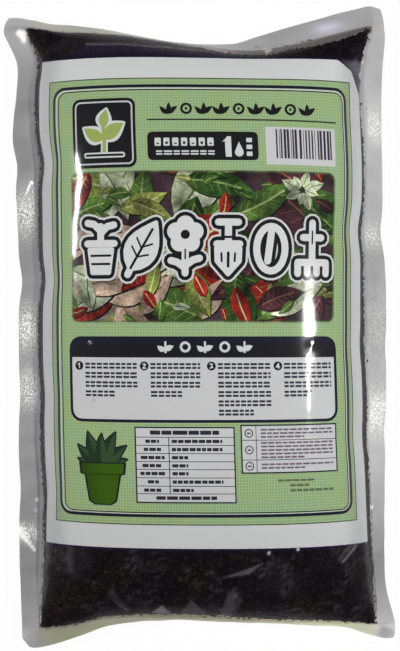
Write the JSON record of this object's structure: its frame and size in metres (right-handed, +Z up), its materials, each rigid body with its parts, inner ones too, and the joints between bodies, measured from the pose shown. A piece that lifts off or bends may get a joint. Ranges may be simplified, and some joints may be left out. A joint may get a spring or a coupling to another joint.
{
  "type": "compost bag",
  "caption": "Small sealed pouch of clear film, filled with dark potting soil, with a printed green sheet behind the front film. It lies on its back.",
  "frame": {"origin": "on the floor under the middle of the pouch as it lies on its back", "axes": "+X to the right of the print, +Y to its top, +Z up out of the pouch's front"},
  "size_m": [0.1783, 0.2916, 0.0363],
  "materials": {
    "clear_film": "clear glossy film",
    "printed_sheet": "printed paper, green and white",
    "net_thread": "white polyester net",
    "potting_soil": "dark moist soil with bark"
  },
  "bodies": {
    "root": {"front_film": "clear_film", "back_film": "clear_film", "label_sheet": "printed_sheet", "pot_net": "net_thread", "potting_soil": "potting_soil"}
  },
  "joints": []
}
